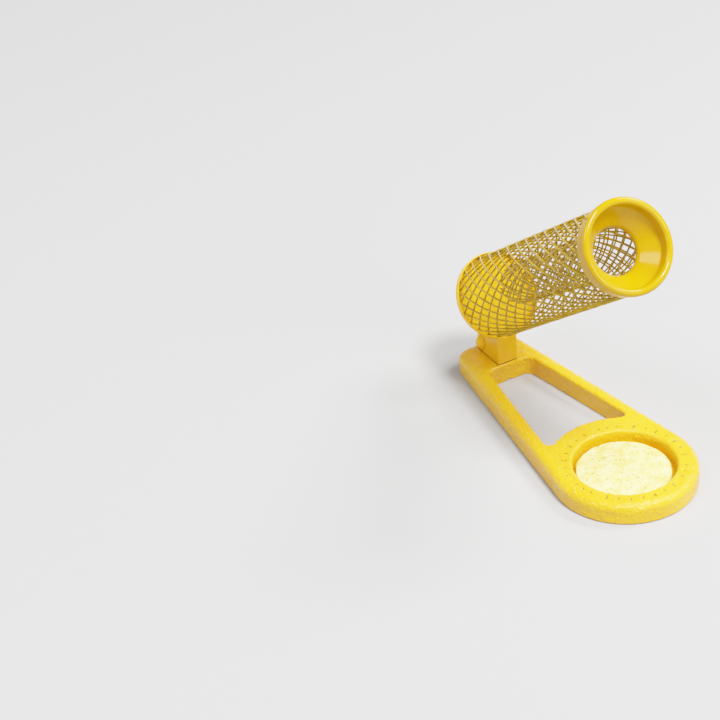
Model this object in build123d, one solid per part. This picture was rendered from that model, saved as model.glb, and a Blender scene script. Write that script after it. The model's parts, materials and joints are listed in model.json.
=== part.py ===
from build123d import *
import math
import os

# Soldering iron stand. Millimetres, +Z up, rest face on Z = 0, origin at the middle of the base's length.
# The sponge end points to -Y. The tube leans over it from a clevis post at the +Y end.

# ---- base casting ----
base_length = 170.0
base_thick = 11.0
front_radius = 37.0
side_taper = 8.5            # each side leans in by this angle towards the rear
rear_corner = 9.0
top_round = 3.8
foot_bevel = 0.6
well_y = front_radius - base_length / 2
well_radius = 26.2
well_floor = 2.5
well_rim_round = 1.5
well_floor_round = 0.8

# ---- opening between the rails ----
open_side_offset = 29.65    # distance of each inner side line from the well's centre
open_taper = 9.03
open_front_radius = 38.75
open_rear_y = 58.4
open_front_corner = 3.0
open_rear_corner = 6.0
open_round = 1.4

# ---- stamped ring round the well ----
mark_radius = 30.2
mark_depth = 0.35
mark_long, mark_short, mark_wide = 2.9, 1.9, 1.0
mark_groups, marks_in_group, mark_step, mark_start = 3, 7, 11.5, 12.0
dot_radius, dot_step = 0.7, 9.0

# ---- sponge ----
sponge_radius = 24.3
sponge_thick = 4.5
sponge_shift = -0.8
sponge_round = 1.0

# ---- clevis post ----
post_width = 11.6
post_front_y, post_rear_y = 59.2, 80.2
post_top_z, post_ledge_z, post_hump_z, post_rear_z = 33.0, 31.8, 22.0, 19.8
post_ledge, post_hump_run = 3.0, 2.4
post_round, post_foot_bevel = 0.4, 0.35
slot_width = 4.2
slot_upper_y, slot_upper_z = 63.2, 20.5
slot_lower_y, slot_lower_z = 67.7, 13.0

# ---- tilt pivot ----
pivot_y, pivot_z = 76.0, 17.0
bolt_radius, bolt_clear = 2.0, 0.05
head_radius, head_height, head_dome = 4.0, 3.0, 4.2
washer_radius, washer_thick = 4.4, 0.8
nut_flats, nut_thick = 7.0, 3.2
bolt_tail = 1.4

# ---- fixings under the post ----
screw_y, screw_radius, screw_top = 63.4, 2.5, 18.4
screw_sunk, screw_head_radius, screw_head_depth, screw_slot = 0.3, 4.9, 2.7, 1.0
screw_room = 0.2
pin_y, pin_radius, pin_bottom, pin_top = 77.0, 1.5, 4.0, 12.8
snug = 0.02

# ---- tube ----
tube_tilt = 36.93
cap_centre = (0.0, 69.8, 47.5)      # on the end cap's back face
cap_radius, cap_plate, cap_flange = 23.1, 1.2, 3.4
mesh_radius, mesh_thick = 22.5, 0.8
mesh_start, mesh_end = 1.25, 147.2
cells_round, cell_pitch, strand_width = 23, 11.0, 1.15
sheet = 0.58
lip_front = 151.2
bead_centre_radius, bead_radius = 22.0, 1.9
skirt_rear = 142.4
# inside of the funnel, as (radius, distance behind the lip): wall, wall's foot, neck's mouth, neck, hole
bowl = ((20.15, 2.4), (20.15, 6.5), (12.5, 13.4), (11.75, 14.6), (11.75, 16.3))
bowl_rounds = (1.2, 1.2, 0.5)
rivet_angles = (123.0, 282.0)
rivet_s, rivet_shank, rivet_radius, rivet_height = 145.0, 0.7, 1.2, 0.7

# ---- inner sleeve, pushed on the neck ----
inner_thick = 0.6
inner_front, inner_rear = 136.3, 29.0
inner_front_radius, inner_rear_radius = 12.98, 10.65
inner_rear_lift = 1.75              # its rear end stands this much above the tube's axis
inner_cells_round, inner_strand = 12, 1.0

# ---- lug ----
lug_thick = 4.0
lug_end_radius = 3.8
lug_weld = (-9.3, 6.0)              # along the cap's back face, up from its centre
heel_reach, heel_angle = 4.8, 63.6  # the heel meets the slot floor at the top of the tilt

tilt = math.radians(tube_tilt)
back_normal = (0.0, math.cos(tilt), -math.sin(tilt))
tube_plane = Plane(origin=cap_centre, x_dir=(1, 0, 0), z_dir=(0.0, -math.cos(tilt), math.sin(tilt)))


def side_plate(face, thick):
    """Plate from a sketch whose x is Y and whose y is Z, centred on X = 0."""
    plate = extrude(face, thick / 2, both=True)
    return Plane(origin=(0, 0, 0), x_dir=(0, 1, 0), z_dir=(1, 0, 0)).location * plate


def block(y0, y1, z0, z1, wide):
    return Pos(0, (y0 + y1) / 2, (z0 + z1) / 2) * Box(wide, y1 - y0, z1 - z0)


def upright(radius, y, z0, z1):
    return Pos(0, y, (z0 + z1) / 2) * Cylinder(radius, z1 - z0)


def pivot_rod(radius, x0, x1):
    return Pos((x0 + x1) / 2, pivot_y, pivot_z) * Rot(0, 90, 0) * Cylinder(radius, x1 - x0)


def flat_edges(solid, z):
    """Edges lying in the horizontal plane at z."""
    found = []
    for e in solid.edges():
        box = e.bounding_box()
        if abs(box.min.Z - z) < 1e-3 and abs(box.max.Z - z) < 1e-3:
            found.append(e)
    return found


def wedge_outline(side_point, round_point, rear_y, rear_half):
    """Round-ended wedge: an arc at the -Y end, straight tapering sides, a straight rear."""
    sx, sy = side_point
    face = make_face([
        ThreePointArc((-sx, sy), round_point, (sx, sy)),
        Line((sx, sy), (rear_half, rear_y)),
        Line((rear_half, rear_y), (-rear_half, rear_y)),
        Line((-rear_half, rear_y), (-sx, sy)),
    ])
    return face


def base_outline():
    a = math.radians(side_taper)
    sx, sy = front_radius * math.cos(a), well_y + front_radius * math.sin(a)
    rear_y = base_length / 2
    face = wedge_outline((sx, sy), (0, well_y - front_radius), rear_y, sx - (rear_y - sy) * math.tan(a))
    return fillet([v for v in face.vertices() if v.Y > rear_y - 1], rear_corner)


def opening_outline():
    a = math.radians(open_taper)
    half, slope = open_side_offset / math.cos(a), math.tan(a)
    qa, qb, qc = 1 + slope**2, -2 * half * slope, half**2 - open_front_radius**2
    run = (-qb + math.sqrt(qb**2 - 4 * qa * qc)) / (2 * qa)
    front = (half - slope * run, well_y + run)
    rear_half = half - slope * (open_rear_y - well_y)
    face = wedge_outline(front, (0, well_y + open_front_radius), open_rear_y, rear_half)
    face = fillet([v for v in face.vertices() if v.Y > open_rear_y - 1], open_rear_corner)
    return fillet([v for v in face.vertices() if v.Y < front[1] + 1], open_front_corner)


def stamped_marks():
    """Short radial bars in groups, with small dots between the groups."""
    group_angle = 360 / mark_groups
    cuts = []
    for g in range(mark_groups):
        middle = mark_start + g * group_angle
        for i in range(marks_in_group):
            length = mark_short if i % 2 else mark_long
            angle = middle + (i - (marks_in_group - 1) / 2) * mark_step
            cuts.append(Rot(0, 0, angle) * Pos(mark_radius, 0, 0) * Box(length, mark_wide, 2 * mark_depth))
        for i in (-1, 0, 1):
            angle = middle + group_angle / 2 + i * dot_step
            cuts.append(Rot(0, 0, angle) * Pos(mark_radius, 0, 0) * Cylinder(dot_radius, 2 * mark_depth))
    return [Pos(0, well_y, base_thick) * c for c in cuts]


def base_casting():
    body = extrude(base_outline(), base_thick)
    body = fillet(flat_edges(body, base_thick), top_round)
    body = chamfer(flat_edges(body, 0), foot_bevel)
    well = Pos(0, well_y, well_floor + base_thick / 2) * Cylinder(well_radius, base_thick)
    body -= fillet(flat_edges(well, well_floor), well_floor_round)
    body = fillet([e for e in flat_edges(body, base_thick) if e.is_closed], well_rim_round)
    body -= Pos(0, 0, -1) * extrude(opening_outline(), base_thick + 2)
    body = fillet([e for e in flat_edges(body, base_thick) if on_opening(e)], open_round)
    body -= stamped_marks()
    body -= upright(screw_radius + screw_room, screw_y, -1, base_thick + 1)
    body -= screw_head(screw_room) + upright(screw_head_radius + screw_room, screw_y, -1, screw_sunk)
    return body - upright(pin_radius + snug, pin_y, pin_bottom - snug, base_thick + 1)


def on_opening(edge):
    """True for an edge of the opening's top outline, not of the well's rim or the rails' outer rim."""
    a = math.radians(open_taper)
    p = edge.center()
    side = (abs(p.X) + math.tan(a) * (p.Y - well_y)) * math.cos(a)
    beyond_well = well_y + well_radius < p.Y < open_rear_y + 0.5
    return not edge.is_closed and beyond_well and side < open_side_offset + 0.5


def screw_head(room=0.0):
    z0, z1 = screw_sunk, screw_sunk + screw_head_depth
    return Pos(0, screw_y, (z0 + z1) / 2) * Cone(screw_head_radius + room, screw_radius + room, z1 - z0)


def post():
    outline = Polyline(
        (post_front_y, base_thick), (post_rear_y, base_thick), (post_rear_y, post_rear_z),
        (post_rear_y - post_hump_run, post_hump_z), (post_front_y + post_ledge, post_ledge_z),
        (post_front_y, post_top_z), close=True)
    body = side_plate(make_face(outline), post_width)
    body = fillet([e for e in body.edges() if e.center().Z > base_thick + 0.1], post_round)
    body = chamfer(flat_edges(body, base_thick), post_foot_bevel)
    body -= block(slot_upper_y, post_rear_y + 1, slot_upper_z, post_top_z + 1, slot_width)
    body -= block(slot_lower_y, post_rear_y + 1, slot_lower_z, post_top_z + 1, slot_width)
    body -= pivot_rod(bolt_radius + bolt_clear, -post_width, post_width)
    body -= upright(screw_radius + snug, screw_y, 0, screw_top + 0.6)
    return body - upright(pin_radius + snug, pin_y, 0, slot_lower_z + 0.5)


def post_screw():
    body = screw_head() + upright(screw_radius, screw_y, screw_sunk + screw_head_depth, screw_top)
    return body - Pos(0, screw_y, screw_sunk) * Box(2 * screw_head_radius, screw_slot, 2 * screw_slot)


def pivot_bolt():
    """Cup-head bolt: a plain domed head on the left, a shank that runs through the nut on the right."""
    x_head = -post_width / 2 - snug
    x_tail = post_width / 2 + washer_thick + nut_thick + bolt_tail
    head = pivot_rod(head_radius, x_head - head_height, x_head)
    head &= Pos(x_head - head_height + head_dome, pivot_y, pivot_z) * Sphere(head_dome)
    return head + pivot_rod(bolt_radius, x_head, x_tail)


def pivot_washer():
    x0 = post_width / 2 + snug
    return pivot_rod(washer_radius, x0, x0 + washer_thick) - pivot_rod(bolt_radius + bolt_clear, 0, 4 * x0)


def pivot_nut():
    x0 = post_width / 2 + washer_thick + 2 * snug
    hexagon = RegularPolygon(nut_flats / 2, 6, major_radius=False)
    across = Plane(origin=(x0, pivot_y, pivot_z), x_dir=(0, 1, 0), z_dir=(1, 0, 0))
    nut = across.location * extrude(hexagon, nut_thick)
    bevel = pivot_rod(nut_flats / 2 * 1.12, x0, x0 + nut_thick)
    nut &= chamfer(bevel.edges().group_by(Axis.X)[-1], 0.5)
    return nut - pivot_rod(bolt_radius + bolt_clear, 0, 4 * x0)


def pivot_lug():
    """Plate welded square to the cap's back, reaching down into the slot and rounded about the pivot."""
    up = (math.sin(tilt), math.cos(tilt))
    low, high = [(cap_centre[1] + t * up[0] + 0.02 * back_normal[1],
                  cap_centre[2] + t * up[1] + 0.02 * back_normal[2]) for t in lug_weld]
    heel = math.radians(heel_angle)
    heel_point = (pivot_y + heel_reach * math.sin(heel), pivot_z - heel_reach * math.cos(heel))
    outline = Polyline(
        low, (low[0], slot_upper_z + 2.0), (pivot_y - lug_end_radius, pivot_z + 1.0),
        (pivot_y - lug_end_radius, pivot_z), (pivot_y, pivot_z - lug_end_radius * 0.5), heel_point,
        (heel_point[0], pivot_z + 9.0), high, close=True)
    plate = make_face(outline) + Pos(pivot_y, pivot_z) * Circle(lug_end_radius)
    return side_plate(plate, lug_thick) - pivot_rod(bolt_radius + bolt_clear, -lug_thick, lug_thick)


def revolve_profile(face):
    """Solid of revolution about the tube's axis from a sketch in (radius, distance from the cap's back)."""
    return tube_plane.location * revolve(Plane.XZ * face, Axis.Z)


def rivet_places():
    """Frames on the skirt's outer surface, Z outwards, one per rivet."""
    radial = Pos(cap_radius, 0, rivet_s) * Rot(0, 90, 0)
    return [tube_plane.location * Rot(0, 0, angle) * radial for angle in rivet_angles]


def end_cap():
    outer = [(0, 0), (cap_radius - 0.8, 0), (cap_radius, 0.8), (cap_radius, cap_flange)]
    inner = [(cap_radius - sheet, cap_flange), (cap_radius - sheet, cap_plate), (0, cap_plate)]
    return revolve_profile(make_face(Polyline(*outer, *inner, close=True)))


def pierced(tube, radius, cells, strand, start, end):
    """Cuts staggered diamonds through a thin tube, leaving two families of crossing strands."""
    round_pitch = 2 * math.pi * radius / cells
    inset = 1 - strand / 2 * math.hypot(2 / round_pitch, 2 / cell_pitch)
    half_wide, half_long = round_pitch / 2 * inset, cell_pitch / 2 * inset
    corners = ((half_wide, 0), (0, half_long), (-half_wide, 0), (0, -half_long))
    sideways = Plane(origin=(radius / 2, 0, 0), x_dir=(0, 1, 0), z_dir=(1, 0, 0))
    punch = sideways.location * extrude(make_face(Polyline(*corners, close=True)), radius)
    rows = int((end - start - 2 * half_long - 2) / (cell_pitch / 2)) + 1
    first = (start + end - (rows - 1) * cell_pitch / 2) / 2
    holes = []
    for row in range(rows):
        for i in range(cells):
            angle = (i + (row % 2) / 2) * 360 / cells
            holes.append(Pos(0, 0, first + row * cell_pitch / 2) * Rot(0, 0, angle) * punch)
    return tube - holes


def mesh_sleeve():
    length = mesh_end - mesh_start
    tube = Cylinder(mesh_radius, length) - Cylinder(mesh_radius - mesh_thick, length + 1)
    tube = Pos(0, 0, mesh_start + length / 2) * tube
    return tube_plane.location * pierced(tube, mesh_radius, cells_round, strand_width, mesh_start, mesh_end)


def inner_sleeve():
    """Slightly tapered sleeve that carries on from the funnel's neck, its rear end a little high."""
    length = inner_front - inner_rear
    tube = Cone(inner_rear_radius, inner_front_radius, length)
    tube -= Cone(inner_rear_radius - inner_thick, inner_front_radius - inner_thick, length)
    tube = Pos(0, 0, length / 2) * tube
    mean = (inner_rear_radius + inner_front_radius) / 2
    sleeve = pierced(tube, mean, inner_cells_round, inner_strand, 0, length)
    lean = math.degrees(math.atan2(inner_rear_lift, length))
    return tube_plane.location * Pos(0, inner_rear_lift, inner_rear) * Rot(lean, 0, 0) * sleeve


def behind(points):
    """The same line of (radius, height) points, one sheet's thickness further from the axis."""
    moved = []
    for i, (r, s) in enumerate(points):
        normals = []
        for (r0, s0), (r1, s1) in zip(points[max(i - 1, 0):i + 1], points[max(i, 1):i + 2]):
            run = math.dist((r0, s0), (r1, s1))
            normals.append(((s0 - s1) / run, (r1 - r0) / run))
        nr, ns = sum(n[0] for n in normals), sum(n[1] for n in normals)
        reach = sheet * len(normals) / (nr**2 + ns**2)
        moved.append((r + nr * reach, s + ns * reach))
    return moved


def funnel_collar():
    """Spun sheet: outer skirt, rolled lip, bowl and a short neck turned in round the hole."""
    bead_s = lip_front - bead_radius
    skirt = Polyline((cap_radius - sheet, skirt_rear), (cap_radius, skirt_rear), (cap_radius, bead_s + 0.2),
                     (cap_radius - sheet, bead_s + 0.2), close=True)
    front = [(r, lip_front - depth) for r, depth in bowl]
    face = make_face(Polyline(*front, *reversed(behind(front)), close=True))
    for line in (front, behind(front)):
        for corner, size in zip(line[1:4], bowl_rounds):
            face = fillet(face.vertices().sort_by_distance(corner)[0], size)
    bead = Pos(bead_centre_radius, bead_s) * Circle(bead_radius)
    collar = revolve_profile(make_face(skirt) + face + bead)
    return collar - [at * Cylinder(rivet_shank + snug, 3) for at in rivet_places()]


def collar_rivets():
    """Small domed rivets whose shanks fill the holes in the skirt."""
    height = rivet_height + snug
    head = Pos(0, 0, snug + height / 2) * Cylinder(rivet_radius, height)
    head = fillet(head.edges().group_by(Axis.Z)[-1], rivet_height * 0.8)
    rivet = head + Pos(0, 0, snug - sheet / 2) * Cylinder(rivet_shank, sheet)
    return Compound(children=[at * rivet for at in rivet_places()])


def sponge():
    middle = well_floor + snug + sponge_thick / 2
    pad = Pos(sponge_shift, well_y, middle) * Cylinder(sponge_radius, sponge_thick)
    return fillet(pad.edges().filter_by(GeomType.CIRCLE), sponge_round)


parts = {
    "base_casting": base_casting,
    "sponge": sponge,
    "clevis_post": post,
    "post_screw": post_screw,
    "post_pin": lambda: upright(pin_radius, pin_y, pin_bottom, pin_top),
    "pivot_bolt": pivot_bolt,
    "pivot_washer": pivot_washer,
    "pivot_nut": pivot_nut,
    "pivot_lug": pivot_lug,
    "end_cap": end_cap,
    "mesh_sleeve": mesh_sleeve,
    "inner_sleeve": inner_sleeve,
    "funnel_collar": funnel_collar,
    "collar_rivets": collar_rivets,
}

os.makedirs("parts", exist_ok=True)
for name, build in parts.items():
    export_step(build(), f"parts/{name}.step")
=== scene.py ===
import json
import math
import bpy
from mathutils import Matrix, Vector, noise
from mathutils.bvhtree import BVHTree


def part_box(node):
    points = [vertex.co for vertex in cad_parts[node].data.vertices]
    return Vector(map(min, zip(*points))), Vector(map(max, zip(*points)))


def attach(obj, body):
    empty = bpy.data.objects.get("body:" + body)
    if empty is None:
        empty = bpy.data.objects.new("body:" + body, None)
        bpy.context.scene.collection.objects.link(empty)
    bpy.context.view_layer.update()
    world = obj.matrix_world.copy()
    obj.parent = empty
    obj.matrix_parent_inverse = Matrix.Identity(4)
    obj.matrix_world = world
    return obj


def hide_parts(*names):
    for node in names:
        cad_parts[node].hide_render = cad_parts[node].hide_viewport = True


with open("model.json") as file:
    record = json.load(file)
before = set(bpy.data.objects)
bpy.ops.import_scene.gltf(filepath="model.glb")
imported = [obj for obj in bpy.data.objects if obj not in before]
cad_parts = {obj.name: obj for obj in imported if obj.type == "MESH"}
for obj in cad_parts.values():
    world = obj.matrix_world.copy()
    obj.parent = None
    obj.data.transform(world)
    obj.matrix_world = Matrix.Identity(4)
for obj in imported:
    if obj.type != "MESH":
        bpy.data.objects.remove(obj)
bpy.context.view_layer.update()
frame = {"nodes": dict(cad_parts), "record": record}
nodes = frame["nodes"]
MM = 0.001

# ---------------------------------------------------------------- camera, stage and light

# The camera that was fitted to the photograph: place in metres, angles in degrees.
CAMERA_AT = Vector((-0.5415, -0.8103, 0.7093))
CAMERA_AZIMUTH, CAMERA_ELEVATION, CAMERA_ROLL = -27.52, 34.04, -4.19
LENS_MM, SENSOR_MM = 116.24, 36.0
CLIP_NEAR, CLIP_FAR = 0.05, 20.0

# A flat round floor that curves up all round, far off, so that every view has a pale backdrop.
FLOOR_FLAT, FLOOR_RISE, FLOOR_HEIGHT = 2.0, 1.2, 1.5
FLOOR_TURNS, FLOOR_STEPS = 72, 12
FLOOR_GREY, FLOOR_ROUGHNESS = 0.43, 0.85
WORLD_STRENGTH = 0.10

# Film-like tones: 1 - exp(-speed * light), drawn up to a white level.
FILM_SPEED, FILM_WHITE, FILM_STEPS = 2.2, 2.0, 9
COMBINED_CURVE = 3

FAR_LAMPS = (  # name, direction it stands in, strength, degrees across
    ("key", (0.12, -0.50, 1.00), 2.45, 14),
    ("overhead", (0.08, -0.18, 1.12), 0.9, 11),
)
SOFTBOXES = (  # name, place, width and height, watts
    ("front", (0.20, -1.10, 0.66), (0.7, 0.4), 4.2),
    ("window", (-0.58, 0.0, 0.94), (0.42, 0.42), 2.7),
    ("lamp_right", (0.70, -0.12, 0.84), (0.34, 0.34), 5.5),
    ("lamp_left", (-0.90, -0.27, 0.57), (0.12, 0.12), 0.5),
)
LIT_POINT = (0, 0, 0.04)


def aim(obj, azimuth, elevation, roll):
    """Points an object's -Z along the view that an azimuth and an elevation name, then rolls it."""
    a, e = math.radians(azimuth), math.radians(elevation)
    back = Vector((math.sin(a) * math.cos(e), -math.cos(a) * math.cos(e), math.sin(e)))
    turn = (-back).to_track_quat("-Z", "Y").to_matrix().to_4x4()
    rolled = Matrix.Rotation(math.radians(roll), 4, "Z")
    obj.matrix_world = Matrix.Translation(obj.location) @ turn @ rolled


def link(obj):
    bpy.context.scene.collection.objects.link(obj)
    return obj


def make_camera():
    data = bpy.data.cameras.new("camera")
    data.sensor_width = SENSOR_MM
    data.lens = LENS_MM
    data.clip_start, data.clip_end = CLIP_NEAR, CLIP_FAR
    cam = link(bpy.data.objects.new("camera", data))
    cam.location = CAMERA_AT
    aim(cam, CAMERA_AZIMUTH, CAMERA_ELEVATION, CAMERA_ROLL)
    bpy.context.scene.camera = cam


def far_lamp(name, direction, strength, spread):
    """A large soft lamp a long way off, so that the floor is lit evenly."""
    data = bpy.data.lights.new(name, "SUN")
    data.energy, data.angle = strength, math.radians(spread)
    lamp = link(bpy.data.objects.new(name, data))
    lamp.rotation_euler = Vector(direction).to_track_quat("Z", "Y").to_euler()


def softbox(name, at, size, power):
    """A rectangular lamp near the object, turned to its middle."""
    data = bpy.data.lights.new(name, "AREA")
    data.shape = "RECTANGLE"
    data.size, data.size_y = size
    data.energy = power
    lamp = link(bpy.data.objects.new(name, data))
    lamp.location = at
    lamp.rotation_euler = (Vector(LIT_POINT) - Vector(at)).to_track_quat("-Z", "Y").to_euler()


def film_response():
    """Tones roll off towards white as in a print, in place of a hard clip."""
    def tone(share):
        return 1 - math.exp(-FILM_SPEED * FILM_WHITE * share)

    look = bpy.context.scene.view_settings
    look.view_transform = "Standard"
    look.use_curve_mapping = True
    mapping = look.curve_mapping
    mapping.white_level = (FILM_WHITE,) * 3
    points = mapping.curves[COMBINED_CURVE].points
    for i in range(1, FILM_STEPS):
        points.new(i / FILM_STEPS, tone(i / FILM_STEPS))
    points[-1].location = (1, tone(1))
    mapping.update()


def floor_mesh():
    """The flat round floor with its quarter-curve rim, as one open sheet."""
    verts, faces = [(0, 0, 0)], []
    for i in range(FLOOR_STEPS + 1):
        rise = math.pi / 2 * i / FLOOR_STEPS
        radius = FLOOR_FLAT + FLOOR_RISE * math.sin(rise)
        height = FLOOR_HEIGHT * (1 - math.cos(rise))
        for k in range(FLOOR_TURNS):
            turn = 2 * math.pi * k / FLOOR_TURNS
            verts.append((radius * math.cos(turn), radius * math.sin(turn), height))
    for k in range(FLOOR_TURNS):
        after = (k + 1) % FLOOR_TURNS
        faces.append((0, 1 + k, 1 + after))
        for i in range(FLOOR_STEPS):
            a, b = 1 + i * FLOOR_TURNS + k, 1 + i * FLOOR_TURNS + after
            faces.append((a, a + FLOOR_TURNS, b + FLOOR_TURNS, b))
    mesh = bpy.data.meshes.new("floor")
    mesh.from_pydata(verts, [], faces)
    mesh.polygons.foreach_set("use_smooth", [True] * len(mesh.polygons))
    return mesh


def make_stage():
    mesh = floor_mesh()
    floor = link(bpy.data.objects.new("floor", mesh))
    mat = bpy.data.materials.new("floor")
    mat.use_nodes = True
    shader = mat.node_tree.nodes["Principled BSDF"]
    shader.inputs["Base Color"].default_value = (FLOOR_GREY, FLOOR_GREY, FLOOR_GREY, 1)
    shader.inputs["Roughness"].default_value = FLOOR_ROUGHNESS
    mesh.materials.append(mat)
    world = bpy.data.worlds.new("studio")
    world.use_nodes = True
    background = world.node_tree.nodes["Background"]
    background.inputs["Color"].default_value = (1.0, 1.0, 1.0, 1)
    background.inputs["Strength"].default_value = WORLD_STRENGTH
    bpy.context.scene.world = world
    film_response()
    for lamp in FAR_LAMPS:
        far_lamp(*lamp)
    for lamp in SOFTBOXES:
        softbox(*lamp)


# ---------------------------------------------------------------- materials

MIX_INPUTS, MIX_OUTPUT = (0, 6, 7), 2  # the Mix node's share and colour sockets


class Nodes:
    """Small helper that builds a material's node tree."""

    def __init__(self, name):
        self.mat = bpy.data.materials.new(name)
        self.mat.use_nodes = True
        self.tree = self.mat.node_tree
        self.shader = self.tree.nodes["Principled BSDF"]
        self.place = self.tree.nodes.new("ShaderNodeTexCoord").outputs["Object"]

    def add(self, kind, **values):
        """Adds a node and sets its properties, or the inputs of that name."""
        node = self.tree.nodes.new(kind)
        for key, value in values.items():
            if hasattr(node, key):
                setattr(node, key, value)
            else:
                node.inputs[key.replace("_", " ")].default_value = value
        return node

    def join(self, a, b):
        self.tree.links.new(a, b)

    def put(self, socket, value):
        """Gives a socket a number or a colour, or joins another node's output to it."""
        if isinstance(value, (int, float)):
            socket.default_value = value
        elif isinstance(value, tuple):
            socket.default_value = (*value, 1)
        else:
            self.join(value, socket)

    def noise(self, scale, detail, rough):
        node = self.add("ShaderNodeTexNoise", Scale=scale, Detail=detail, Roughness=rough)
        self.join(self.place, node.inputs["Vector"])
        return node.outputs["Fac"]

    def cells(self, scale):
        """Distance from the middle of the nearest random cell."""
        node = self.add("ShaderNodeTexVoronoi", Scale=scale)
        self.join(self.place, node.inputs["Vector"])
        return node.outputs["Distance"]

    def ramp(self, value, *stops):
        node = self.add("ShaderNodeValToRGB")
        band = node.color_ramp
        while len(band.elements) < len(stops):
            band.elements.new(0.5)
        for element, (at, colour) in zip(band.elements, stops):
            element.position = at
            element.color = (*colour, 1)
        self.join(value, node.inputs["Fac"])
        return node.outputs["Color"]

    def map(self, value, low, high, to_low, to_high):
        """Turns the range low to high into to_low to to_high, and clamps it."""
        node = self.add("ShaderNodeMapRange")
        for i, v in enumerate((low, high, to_low, to_high), start=1):
            node.inputs[i].default_value = v
        self.join(value, node.inputs[0])
        return node.outputs[0]

    def mix(self, share, a, b):
        """Colour b laid over colour a by a share."""
        node = self.add("ShaderNodeMix", data_type="RGBA", blend_type="MIX")
        for socket, value in zip(MIX_INPUTS, (share, a, b)):
            self.put(node.inputs[socket], value)
        return node.outputs[MIX_OUTPUT]

    def bump(self, height, distance, strength, over=None):
        node = self.add("ShaderNodeBump", Strength=strength, Distance=distance)
        self.join(height, node.inputs["Height"])
        if over is not None:
            self.join(over, node.inputs["Normal"])
        return node.outputs["Normal"]

    def set(self, **values):
        """Sets or joins inputs of the surface shader and hands back the finished material."""
        for key, value in values.items():
            self.put(self.shader.inputs[key.replace("_", " ")], value)
        return self.mat


# Lengths in materials are in metres.
SPECK_SCALE, SPECK_SHARE, SPECK_DARKER = 1500, 0.35, 0.7
WEAR_SCALE = 170
SPECULAR, COAT_IOR, COAT_ROUGHNESS = 0.12, 1.42, 0.06


def enamel(name, light, dark, lumps, peel, rough, coat, cloud=45, marked=None, mark_colour=None):
    """Brushed or dipped enamel over metal: cloudy colour, lumps, orange peel and a clear gloss.

    lumps, peel: bump layers as (noise scale, distance, strength).  rough: roughness from shiny to
    worn.  cloud: noise scale of the colour.  marked: a 0 to 1 share of mark_colour, painted shade.
    """
    n = Nodes(name)
    cloudy = n.noise(cloud, 3, 0.6)
    speck = n.noise(SPECK_SCALE, 2, 0.5)
    colour = n.ramp(cloudy, (0.35, dark), (0.65, light))
    speck_colour = tuple(SPECK_DARKER * c for c in dark)
    colour = n.mix(n.map(speck, 0.58, 0.70, 0, SPECK_SHARE), colour, speck_colour)
    if marked:
        # Painted shade laid over the paint colour.
        colour = n.mix(marked(n), colour, mark_colour)
    normal = None
    for scale, distance, strength in (*lumps, *peel):
        normal = n.bump(n.noise(scale, 2, 0.55), distance, strength, normal)
    wear = n.map(n.noise(WEAR_SCALE, 3, 0.6), 0.35, 0.7, *rough)
    return n.set(Base_Color=colour, Roughness=wear, Specular_IOR_Level=SPECULAR,
                 Coat_Weight=coat, Coat_IOR=COAT_IOR, Coat_Roughness=COAT_ROUGHNESS,
                 Normal=normal, Coat_Normal=normal)


def stamped(n):
    """Painted shade in the shallow marks stamped round the well: there the paint is laid darker."""
    return n.add("ShaderNodeAttribute", attribute_name="stamped").outputs["Fac"]


# Heights over the post's seat between which the painted shade band of the foot joint fades out.
GAP_SHADE_DARK_TO, GAP_SHADE_CLEAR_FROM = 0.50 * MM, 0.75 * MM


def foot_gap_shade(n):
    """Painted shade: a dark band along the bottom of the post's foot, standing for the shadow in
    the joint where the post sits on the base.
    """
    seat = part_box("clevis_post")[0][2]
    place = n.add("ShaderNodeSeparateXYZ")
    n.join(n.place, place.inputs[0])
    height = place.outputs[2]
    return n.map(height, seat + GAP_SHADE_DARK_TO, seat + GAP_SHADE_CLEAR_FROM, 1.0, 0.0)


ZINC_SHADE, ZINC_LIGHT = (0.52, 0.52, 0.50), (0.68, 0.68, 0.65)
ZINC_CLOUD_SCALE, GRAIN_SCALE = 90, 420
GRAIN_HEIGHT, GRAIN_STRENGTH = 0.00004, 0.6
ZINC_ROUGH = (0.28, 0.48)


def zinc(name):
    """Zinc plate with a fine grain that breaks up the reflection."""
    n = Nodes(name)
    grain = n.noise(GRAIN_SCALE, 4, 0.7)
    colour = n.ramp(n.noise(ZINC_CLOUD_SCALE, 3, 0.6), (0.3, ZINC_SHADE), (0.7, ZINC_LIGHT))
    return n.set(Base_Color=colour, Metallic=1.0, Roughness=n.map(grain, 0.3, 0.7, *ZINC_ROUGH),
                 Normal=n.bump(grain, GRAIN_HEIGHT, GRAIN_STRENGTH))


SPONGE_SHADE = (0.78, 0.61, 0.13)
SPONGE_MIDDLE = (0.88, 0.74, 0.22)
SPONGE_LIGHT = (0.94, 0.83, 0.32)
# Painted shade in the sponge's open cells and pits.
CELL_SHADE_COLOUR = (0.55, 0.36, 0.06)
PIT_SHADE_COLOUR = (0.33, 0.17, 0.03)
FLECK_COLOUR = (0.42, 0.24, 0.05)
CELL_SCALE, PIT_SCALE, FLECK_SCALE = 750, 330, 800
SPONGE_CLOUD_SCALE, FUZZ_SCALE = 190, 2400
CELL_HEIGHT, FUZZ_HEIGHT, SPONGE_BUMP = 0.0004, 0.0002, 0.7


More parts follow.
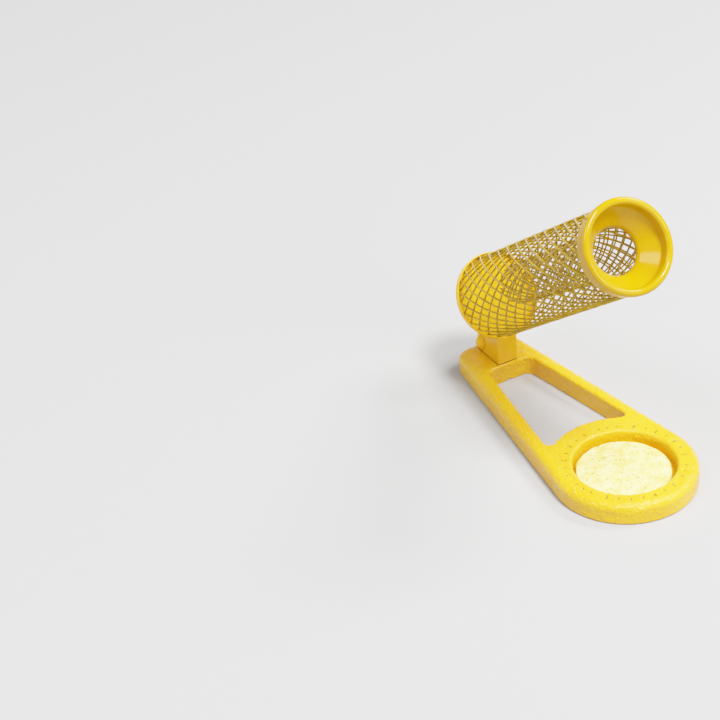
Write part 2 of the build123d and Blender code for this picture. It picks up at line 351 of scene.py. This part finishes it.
def cellulose(name):
    """Dry cellulose sponge: matt, cream, clouded, with fine open cells, painted shade in its cells
    and pits, and brown flecks.
    """
    n = Nodes(name)
    cells = n.cells(CELL_SCALE)
    pits = n.cells(PIT_SCALE)
    colour = n.ramp(n.noise(SPONGE_CLOUD_SCALE, 5, 0.65),
                    (0.34, SPONGE_SHADE), (0.48, SPONGE_MIDDLE), (0.62, SPONGE_LIGHT))
    # Painted shade, darker towards the middle of each cell and pit.
    colour = n.mix(n.map(cells, 0.10, 0.28, 0.55, 0.0), colour, CELL_SHADE_COLOUR)
    colour = n.mix(n.map(pits, 0.13, 0.20, 0.9, 0.0), colour, PIT_SHADE_COLOUR)
    flecks = n.noise(FLECK_SCALE, 3, 0.7)
    colour = n.mix(n.map(flecks, 0.58, 0.64, 0, 0.75), colour, FLECK_COLOUR)
    normal = n.bump(cells, CELL_HEIGHT, SPONGE_BUMP)
    normal = n.bump(n.noise(FUZZ_SCALE, 3, 0.6), FUZZ_HEIGHT, SPONGE_BUMP, normal)
    return n.set(Base_Color=colour, Roughness=0.95, Specular_IOR_Level=0.15, Sheen_Weight=0.1,
                 Subsurface_Weight=0.1, Subsurface_Scale=0.001, Normal=normal)


YELLOW = (0.88, 0.47, 0.009)
DEEP_YELLOW = (0.82, 0.395, 0.006)
# Wire paint: a darker copy of the yellow enamel, painted shade on the wires of both sleeves.
MESH_SHADED_YELLOW, MESH_SHADED_DEEP = (0.52, 0.32, 0.008), (0.34, 0.19, 0.004)
# Collar paint: a darker copy of the yellow enamel, painted shade over the whole collar for its
# shaded bowl.
COLLAR_SHADED_YELLOW, COLLAR_SHADED_DEEP = (0.55, 0.30, 0.001), (0.49, 0.255, 0.001)
# Painted shade for the recessed marks round the well.
STAMP_SHADE_BROWN = (0.28, 0.15, 0.008)
# Near-black painted shade for the joint where the post stands on the base.
GAP_SHADE_BROWN = (0.06, 0.025, 0.002)

SMOOTH = dict(lumps=((120, 0.0003, 0.3),), peel=((1400, 0.00005, 0.4),),
              rough=(0.16, 0.26), coat=0.3)
PAINT = {
    "cast_enamel": enamel("cast_enamel", YELLOW, DEEP_YELLOW,
                          lumps=((520, 0.0008, 0.5), (1000, 0.0009, 0.6)),
                          peel=((2400, 0.0001, 0.4),), rough=(0.10, 0.22), coat=0.6,
                          marked=stamped, mark_colour=STAMP_SHADE_BROWN),
    "smooth_enamel": enamel("smooth_enamel", YELLOW, DEEP_YELLOW, **SMOOTH),
    "mesh_enamel": enamel("mesh_enamel", MESH_SHADED_YELLOW, MESH_SHADED_DEEP, lumps=((600, 0.0002, 0.4),),
                          peel=((2400, 0.00006, 0.5),), rough=(0.24, 0.38), coat=0.3, cloud=160),
    "collar_enamel": enamel("collar_enamel", COLLAR_SHADED_YELLOW, COLLAR_SHADED_DEEP,
                            lumps=((150, 0.0002, 0.25),), peel=((1500, 0.00003, 0.4),),
                            rough=(0.14, 0.24), coat=0.3),
    "zinc_steel": zinc("zinc_steel"),
    "cellulose": cellulose("cellulose"),
}
# The post's paint, with the painted shade band along its foot.
FOOT_PAINT_WITH_GAP_SHADE = enamel("foot_enamel_gap_shade", YELLOW, DEEP_YELLOW, **SMOOTH,
                    marked=foot_gap_shade, mark_colour=GAP_SHADE_BROWN)


def paint(obj, slot_name):
    obj.data.materials.clear()
    obj.data.materials.append(PAINT[slot_name])


# ---------------------------------------------------------------- crossed wires of the two sleeves

def new_piece(name, mesh, node, slot_name):
    """A piece that stands for a CAD node, rides on its body and takes its slot's finish."""
    obj = link(bpy.data.objects.new(name, mesh))
    for face in mesh.polygons:
        face.use_smooth = True
    body = next(b for b, names in frame["record"]["behaviour"]["bodies"].items() if node in names)
    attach(obj, body)
    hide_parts(node)
    paint(obj, slot_name)
    return obj


FLATTEST, STEEPEST, HALVINGS = 10, 70, 50


def tube_lean(node):
    """Lean of a round tube, found by halving from its box's width, depth and height."""
    low, high = (Vector(corner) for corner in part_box(node))
    across, deep, tall = high - low
    flat, steep = math.radians(FLATTEST), math.radians(STEEPEST)
    for _ in range(HALVINGS):
        lean = (flat + steep) / 2
        if deep * math.sin(lean) - tall * math.cos(lean) + across * math.cos(2 * lean) < 0:
            flat = lean
        else:
            steep = lean
    return lean


# Directions of the tube at rest: along its axis to the mouth, square to it and up, and across.
LEAN = tube_lean("mesh_sleeve")
ALONG = Vector((0, -math.cos(LEAN), math.sin(LEAN)))
UP = Vector((0, math.sin(LEAN), math.cos(LEAN)))
ACROSS = Vector((1, 0, 0))

RIM_DEPTH = 0.6 * MM
WIRE_SIDES = 8
WIRE_STEP = 2.0 * MM
WIRE_SWELL, WIRE_SWELL_SCALE = 0.16, 420
WIRE_WOBBLE, WIRE_WOBBLE_SCALE = 0.10 * MM, 90
STRAND_SEED, HAND_SEED = 7.3, 5.1  # set the strands' wobbles apart


def end_ring(node, front):
    """Middle and outer radius of a sleeve's rear or front end."""
    points = [v.co for v in nodes[node].data.vertices]
    along = [p.dot(ALONG) for p in points]
    end = max(along) if front else min(along)
    rim = [p for p, s in zip(points, along) if abs(s - end) < RIM_DEPTH]
    xs, ups = [p.x for p in rim], [p.dot(UP) for p in rim]
    middle = ALONG * end + UP * (max(ups) + min(ups)) / 2 + ACROSS * (max(xs) + min(xs)) / 2
    return middle, (max(xs) - min(xs)) / 2


def add_strand(verts, faces, line, thick):
    """A closed round wire along a line, its radius varying a little as dipped wire's does."""
    first = len(verts)
    for i, point in enumerate(line):
        ahead = (line[min(i + 1, len(line) - 1)] - line[max(i - 1, 0)]).normalized()
        side = ahead.orthogonal().normalized()
        other = ahead.cross(side)
        r = thick * (1 + WIRE_SWELL * noise.noise(point * WIRE_SWELL_SCALE))
        for k in range(WIRE_SIDES):
            a = 2 * math.pi * k / WIRE_SIDES
            verts.append(point + (side * math.cos(a) + other * math.sin(a)) * r)
    for i in range(len(line) - 1):
        ring = first + i * WIRE_SIDES
        for k in range(WIRE_SIDES):
            a, b = ring + k, ring + (k + 1) % WIRE_SIDES
            faces.append((a, b, b + WIRE_SIDES, a + WIRE_SIDES))
    last = first + (len(line) - 1) * WIRE_SIDES
    faces.append(tuple(first + k for k in reversed(range(WIRE_SIDES))))
    faces.append(tuple(last + k for k in range(WIRE_SIDES)))


def wire_sleeve(name, node, cells, shift, thick, sunk, cell):
    """Two families of wires wound opposite ways round a sleeve, the left-handed one a little sunk.

    cells: cells round the sleeve.  shift: turn of the pattern, in cells.  thick: a wire's radius.
    sunk: how much deeper the second family lies.  cell: a cell's length along the sleeve.
    """
    (rear, rear_radius), (front, front_radius) = end_ring(node, False), end_ring(node, True)
    length = (front - rear).length
    count = int(length / WIRE_STEP)
    verts, faces = [], []
    for hand, depth in ((1, thick), (-1, thick + sunk)):
        for k in range(cells):
            line = []
            for i in range(count + 1):
                t = i / count
                s = t * (length - 2 * thick) + thick
                centre = rear.lerp(front, s / length)
                radius = rear_radius + (front_radius - rear_radius) * s / length - depth
                wound = (s - length / 2) / cell + shift
                a = 2 * math.pi / cells * (k + 0.5 + hand * wound)
                seed = Vector((k * STRAND_SEED, s * WIRE_WOBBLE_SCALE, hand * HAND_SEED))
                radius += WIRE_WOBBLE * noise.noise(seed)
                line.append(centre + (ACROSS * math.cos(a) + UP * math.sin(a)) * radius)
            add_strand(verts, faces, line, thick)
    mesh = bpy.data.meshes.new(name)
    mesh.from_pydata(verts, [], faces)
    new_piece(name, mesh, node, "mesh_enamel")


# ---------------------------------------------------------------- sponge

def remeshed(node, name, voxel):
    """A fine even mesh that lies on a CAD node's faces, to model detail in."""
    start = link(bpy.data.objects.new("start", nodes[node].data.copy()))
    modifier = start.modifiers.new("voxels", "REMESH")
    modifier.mode, modifier.voxel_size = "VOXEL", voxel
    start.modifiers.new("faces", "SHRINKWRAP").target = nodes[node]
    shaped = start.evaluated_get(bpy.context.evaluated_depsgraph_get())
    mesh = bpy.data.meshes.new_from_object(shaped)
    bpy.data.objects.remove(start)
    mesh.name = name
    mesh.materials.clear()
    return mesh


def smooth_step(low, high, v):
    t = min(max((v - low) / (high - low), 0), 1)
    return t * t * (3 - 2 * t)


SPONGE_VOXEL = 0.36 * MM
PORES = ((3.1, 0.60, 0.26), (1.7, 0.45, 0.30))  # cell size and depth in mm, open share of a cell
SPONGE_LUMPS = ((0.22, 260), (0.10, 900))  # height in mm, noise scale
EDGE_WAVE, EDGE_SCALE, EDGE_SEED, EDGE_INSET = 0.35, 130, 3.0, 0.25  # wave and inset in mm
CROWN, EDGE_DROP = 0.25, 0.35  # mm
SIDE_PORES = 0.5  # depth of the pores on the side, as a share of those on top
PORES_FROM, PORES_FULL = 0.05, 0.5  # shares of the pad's height between which pores set in


def make_sponge():
    """Cellulose pad: slightly crowned, uneven cut edge, open pores of several sizes."""
    low, high = (Vector(corner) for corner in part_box("sponge"))
    middle, radius = (low + high) / 2, (high.x - low.x) / 2
    mesh = remeshed("sponge", "sponge_pad_piece", SPONGE_VOXEL)
    for v in mesh.vertices:
        out = Vector((v.co.x - middle.x, v.co.y - middle.y, 0))
        share = out.length / radius
        skin = smooth_step(PORES_FROM, PORES_FULL, (v.co.z - low.z) / (high.z - low.z))
        dent = 0.0
        for size, depth, reach in PORES:
            near = noise.voronoi(v.co / (size * MM))[0][0]
            dent += depth * (1 - smooth_step(0.0, reach, near))
        dent += sum(height * noise.noise(v.co * scale) for height, scale in SPONGE_LUMPS)
        wave = noise.noise(Vector((v.co.x * EDGE_SCALE, v.co.y * EDGE_SCALE, EDGE_SEED)))
        edge = EDGE_WAVE * wave - EDGE_INSET
        side = out.normalized()
        v.co.z += MM * skin * (CROWN * (1 - share ** 4) - EDGE_DROP * share ** 6 - dent)
        v.co += side * MM * share ** 3 * (edge - SIDE_PORES * dent * skin)
    obj = new_piece("sponge_pad_piece", mesh, "sponge", "cellulose")


# ---------------------------------------------------------------- casting

BASE_VOXEL = 0.5 * MM
MARK_RING_INNER, MARK_RING_OUTER = 28 * MM, 32.4 * MM
MARK_NEAR_TOP, MARK_LEAST_DEPTH = 0.6 * MM, 0.2 * MM
CAST_LUMPS = ((0.20, 300), (0.20, 720), (0.12, 1500))  # height in mm, noise scale
FLAT_BELOW, LUMPY_ABOVE = 0.2 * MM, 2.5 * MM  # the underside stays flat


def make_base():
    """The casting's real surface: low lumps of sand-cast iron under thick paint, a flat underside.

    The fine mesh rounds off the shallow marks round the well, so a ray on to the CAD faces puts
    each mark's floor back, and the attribute "stamped" tells the paint where to lay painted shade
    in them.
    """
    cad = nodes["base_casting"].data
    tree = BVHTree.FromPolygons([v.co for v in cad.vertices], [p.vertices for p in cad.polygons])
    mesh = remeshed("base_casting", "base_piece", BASE_VOXEL)
    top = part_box("base_casting")[1][2]
    well = Vector(frame["record"]["mounts"][0]["pos_m"])
    marks, lumps = [], []
    for v in mesh.vertices:
        away = math.hypot(v.co.x - well.x, v.co.y - well.y)
        mark = 0.0
        if MARK_RING_INNER < away < MARK_RING_OUTER and v.co.z > top - MARK_NEAR_TOP:
            floor = tree.ray_cast(Vector((v.co.x, v.co.y, top + MM)), Vector((0, 0, -1)))[0]
            if floor is not None and floor.z < top - MARK_LEAST_DEPTH:
                mark, v.co.z = 1.0, floor.z
        marks.append(mark)
        height = sum(tall * noise.noise(v.co * scale) for tall, scale in CAST_LUMPS)
        fade = smooth_step(FLAT_BELOW, LUMPY_ABOVE, v.co.z)
        lumps.append(v.normal * height * MM * fade * (1 - mark))
    for v, lump in zip(mesh.vertices, lumps):
        v.co += lump
        v.co.z = max(v.co.z, 0)
    mesh.attributes.new("stamped", "FLOAT", "POINT").data.foreach_set("value", marks)
    new_piece("base_piece", mesh, "base_casting", "cast_enamel")


# ---------------------------------------------------------------- making

make_camera()
make_stage()
for part in frame["record"]["subparts"]:
    paint(nodes[part["node"]], part["material_slot"])
nodes["clevis_post"].data.materials[0] = FOOT_PAINT_WITH_GAP_SHADE
wire_sleeve("mesh_wires", "mesh_sleeve", cells=23, shift=0.0,
            thick=0.50 * MM, sunk=0.55 * MM, cell=11.0 * MM)
wire_sleeve("inner_wires", "inner_sleeve", cells=16, shift=0.25,
            thick=0.40 * MM, sunk=0.42 * MM, cell=9.0 * MM)
make_sponge()
make_base()
